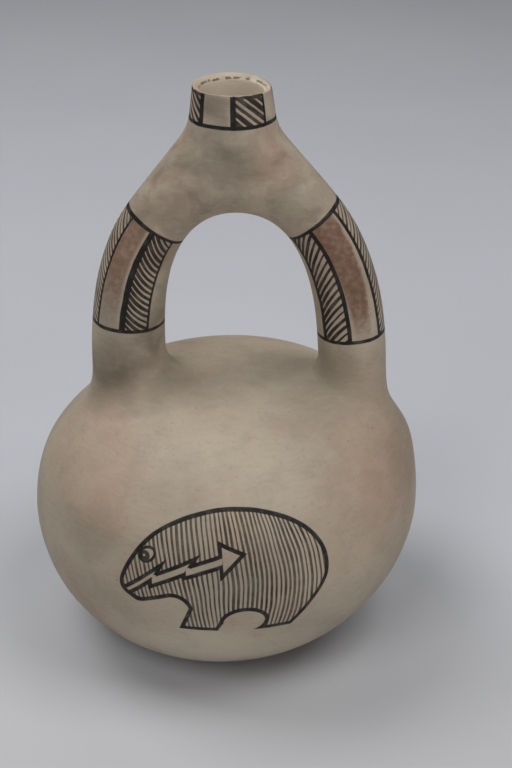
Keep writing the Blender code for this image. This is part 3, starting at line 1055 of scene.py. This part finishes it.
# %% Spout
NECK_HEIGHT = 170.7
LIP_HEIGHT = float(cad_box[1][2]) / MM
SPOUT_MIDDLE = stirrup_axis(NECK_HEIGHT * MM) / MM
SPOUT_RADIUS = 11.9
SPOUT_ARC = math.radians(SPOUT_RADIUS)
SPOUT_SHAKE = 5.0, 0.2
MIRROR_ANGLE = -22.5
THICK_BORDER = 23.5
PANEL_END = 71.0
THICK_LINE = 1.6
THIN_LINE = 0.85
NECK_LINE = 1.15
SPOUT_SPACING = 2.55
SPOUT_DUTY = 0.64
SPOUT_SLOPE = 0.85
PAINT_STOP = 0.6
RAGGED = 0.9
RAGGED_SIZE = 1.5
TOP_STROKE = 1.0
print("painted ring of the spout in mm:", round(LIP_HEIGHT - NECK_HEIGHT - PAINT_STOP, 1), "high")


def spout_measures(tree, place):
    """A point's angle from the mirror line, the same angle folded, and its height over the ring line."""
    spot = add(tree, "SeparateXYZ", {0: shaken(tree, place, *SPOUT_SHAKE)}).node
    across = add(tree, "Math", {0: spot.outputs[0], 1: SPOUT_MIDDLE}, operation="SUBTRACT")
    forward = product(tree, spot.outputs[1], -1.0)
    angle = add(tree, "Math", {0: across, 1: forward}, operation="ARCTAN2")
    angle = add(tree, "Math", {0: angle}, operation="DEGREES")
    turned = add(tree, "Math", {0: angle, 1: MIRROR_ANGLE}, operation="SUBTRACT")
    folded = turned
    for fold in (180.0, 90.0):
        folded = add(tree, "Math", {0: folded, 1: fold}, operation="PINGPONG")
    height = add(tree, "Math", {0: spot.outputs[2], 1: NECK_HEIGHT}, operation="SUBTRACT")
    return turned, folded, height


def spout_paint(tree, place):
    """Ink lines and ink strokes of the spout's panels."""
    turned, folded, height = spout_measures(tree, place)
    gaps = []
    for border in (THICK_BORDER, PANEL_END):
        past = add(tree, "Math", {0: folded, 1: border}, operation="SUBTRACT")
        gaps.append(product(tree, past, SPOUT_ARC))
    upright = strongest(tree, line(tree, gaps[0], THICK_LINE), line(tree, gaps[1], THIN_LINE))
    panel = product(tree, outside_of(tree, gaps[0]), inside(tree, gaps[1]))
    course = add(tree, "Math", {0: turned, 1: SPOUT_ARC * SPOUT_SLOPE, 2: height}, operation="MULTIPLY_ADD")
    ragged = add(tree, "TexNoise", {"Vector": place, "Scale": 1.0 / RAGGED_SIZE, "Detail": 2.0})
    worn = add(tree, "Math", {0: ragged, 1: RAGGED, 2: height}, operation="MULTIPLY_ADD")
    stop = LIP_HEIGHT - NECK_HEIGHT - PAINT_STOP + RAGGED / 2.0
    from_top = add(tree, "Math", {0: worn, 1: stop - TOP_STROKE / 2.0}, operation="SUBTRACT")
    strokes = strongest(
        tree, hatch(tree, course, SPOUT_SPACING, SPOUT_DUTY), line(tree, from_top, TOP_STROKE)
    )
    on_spout = up_to(tree, worn, stop)
    lines = strongest(tree, product(tree, upright, on_spout), line(tree, height, NECK_LINE))
    return lines, product(tree, strokes, panel, on_spout)


# %% The dark line in the mouth
FLECK = "57483A"
FLECK_STRENGTH = 0.85
FLECK_RADIUS = 9.5
FLECK_DEPTH = 1.45
FLECK_WIDTH = 0.8
FLECK_SIZE = 2.1
FLECK_CHANCE = 0.44, 0.56
FLECK_BACK = -4.0, 5.0
FLECK_FRONT_SHARE = 0.2
FLECK_SHAKE = 1.5, 0.3


def rim_flecks(tree, place):
    """A broken dark line along the ring where the lip's slope meets the mouth, fainter in front."""
    middle = (SPOUT_MIDDLE, 0.0, LIP_HEIGHT - FLECK_DEPTH)
    spot = add(tree, "VectorMath", {0: shaken(tree, place, *FLECK_SHAKE), 1: middle}, operation="SUBTRACT")
    split = add(tree, "SeparateXYZ", {0: spot}).node
    flat = add(tree, "VectorMath", {0: spot, 1: (1.0, 1.0, 0.0)}, operation="MULTIPLY")
    out = add(tree, "VectorMath", {0: flat}, "Value", operation="LENGTH")
    out = add(tree, "Math", {0: out, 1: FLECK_RADIUS}, operation="SUBTRACT")
    from_ring = add(tree, "CombineXYZ", {0: out, 1: split.outputs[2]})
    from_ring = add(tree, "VectorMath", {0: from_ring}, "Value", operation="LENGTH")
    chance = add(tree, "TexNoise", {"Vector": place, "Scale": 1.0 / FLECK_SIZE, "Detail": 3.0})
    behind = add(
        tree, "MapRange",
        {"Value": split.outputs[1], "From Min": FLECK_BACK[0], "From Max": FLECK_BACK[1],
         "To Min": FLECK_FRONT_SHARE},
    )
    return product(tree, centred(tree, chance, *FLECK_CHANCE), line(tree, from_ring, FLECK_WIDTH), behind)


print("the dark line lies", FLECK_DEPTH, "mm under the lip")

# %% [markdown]
# ## The finished surface
#
# The layers go on as they did on the pot: slip first, rose, then black. Thin strokes let the slip
# show through, so the hatches are a browner black than the outlines. The tooth of the clay and the
# rubbing streaks are a bump of a few hundredths of a millimetre.

# %% Painted clay
BARE_CLAY = "DDD0BD"
BARE_SPAN = 0.35, 0.0
BARE_HEIGHTS = 2.0, 1.1
BARE_STRENGTHS = 0.95, 0.15
ROSE_STRENGTH = 0.9
DENSITY_SIZE = 3.0
DENSITY_SPAN = 0.25, 0.6
THIN_LEAST, THICK_LEAST = 0.84, 0.88
SHEEN_SPAN = 0.3, 0.7
ROUGHNESSES = 0.66, 0.54
CLAY_IOR = 1.5
CLAY_GLOSS = 0.35
GRIT_SHARE = 0.6
TOOTH_DEPTH = 0.028 * MM


def bare_clay(tree, place, outside):
    """How far the slip gives way to bare clay: inside the mouth, and much less on the lip."""
    bare = add(tree, "MapRange", {"Value": outside, "From Min": BARE_SPAN[0], "From Max": BARE_SPAN[1]})
    depth = add(
        tree, "MapRange",
        {"Value": add(tree, "SeparateXYZ", {0: place}).node.outputs[2],
         "From Min": LIP_HEIGHT - BARE_HEIGHTS[0], "From Max": LIP_HEIGHT - BARE_HEIGHTS[1],
         "To Min": BARE_STRENGTHS[0], "To Max": BARE_STRENGTHS[1]},
    )
    return product(tree, bare, depth)


def painted(tree, colour, place, outside):
    """The rose and the two blacks over the slip, on the outside alone."""
    lines, strokes, rose = band_paint(tree, place)
    for more_lines, more_strokes in (bear_ink(tree, place), spout_paint(tree, place)):
        lines = strongest(tree, lines, more_lines)
        strokes = strongest(tree, strokes, more_strokes)
    density = add(tree, "TexNoise", {"Vector": place, "Scale": 1.0 / DENSITY_SIZE, "Detail": 3.0})
    density = centred(tree, density, *DENSITY_SPAN)
    outside = add(tree, "Math", {0: outside, 1: 0.5}, operation="GREATER_THAN")
    colour = tint(tree, product(tree, rose, outside, ROSE_STRENGTH), colour, ROSE)
    for ink, least, black in ((strokes, THIN_LEAST, INK_THIN), (lines, THICK_LEAST, INK)):
        load = add(tree, "MapRange", {"Value": density, "To Min": least})
        colour = tint(tree, product(tree, ink, outside, load), colour, black)
    return colour


def painted_clay():
    """The vessel's one material."""
    material, tree, shader = new_material("burnished_painted_slip")
    place = add(tree, "TexCoord", {}, "Object")
    place = add(tree, "VectorMath", {0: place, "Scale": 1.0 / MM}, operation="SCALE")
    outside = add(tree, "Attribute", {}, "Fac", attribute_name="outside")
    colour, grain, grit = slip_colour(tree, place)
    colour = tint(tree, bare_clay(tree, place, outside), colour, BARE_CLAY)
    colour = tint(tree, product(tree, rim_flecks(tree, place), FLECK_STRENGTH), colour, FLECK)
    tree.links.new(painted(tree, colour, place, outside), shader.inputs["Base Color"])
    sheen = add(
        tree, "MapRange",
        {"Value": grain, "From Min": SHEEN_SPAN[0], "From Max": SHEEN_SPAN[1],
         "To Min": ROUGHNESSES[0], "To Max": ROUGHNESSES[1]},
    )
    tree.links.new(sheen, shader.inputs["Roughness"])
    shader.inputs["IOR"].default_value = CLAY_IOR
    shader.inputs["Specular IOR Level"].default_value = CLAY_GLOSS
    tooth = add(tree, "Math", {0: grit, 1: GRIT_SHARE, 2: grain}, operation="MULTIPLY_ADD")
    bump = add(tree, "Bump", {"Height": tooth, "Strength": 1.0, "Distance": TOOTH_DEPTH})
    tree.links.new(bump, shader.inputs["Normal"])
    print("nodes in the clay:", len(tree.nodes))
    return material


vessel.data.materials.clear()
vessel.data.materials.append(painted_clay())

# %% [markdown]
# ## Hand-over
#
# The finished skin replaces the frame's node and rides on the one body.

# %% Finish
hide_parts("vessel")
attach(vessel, "root")
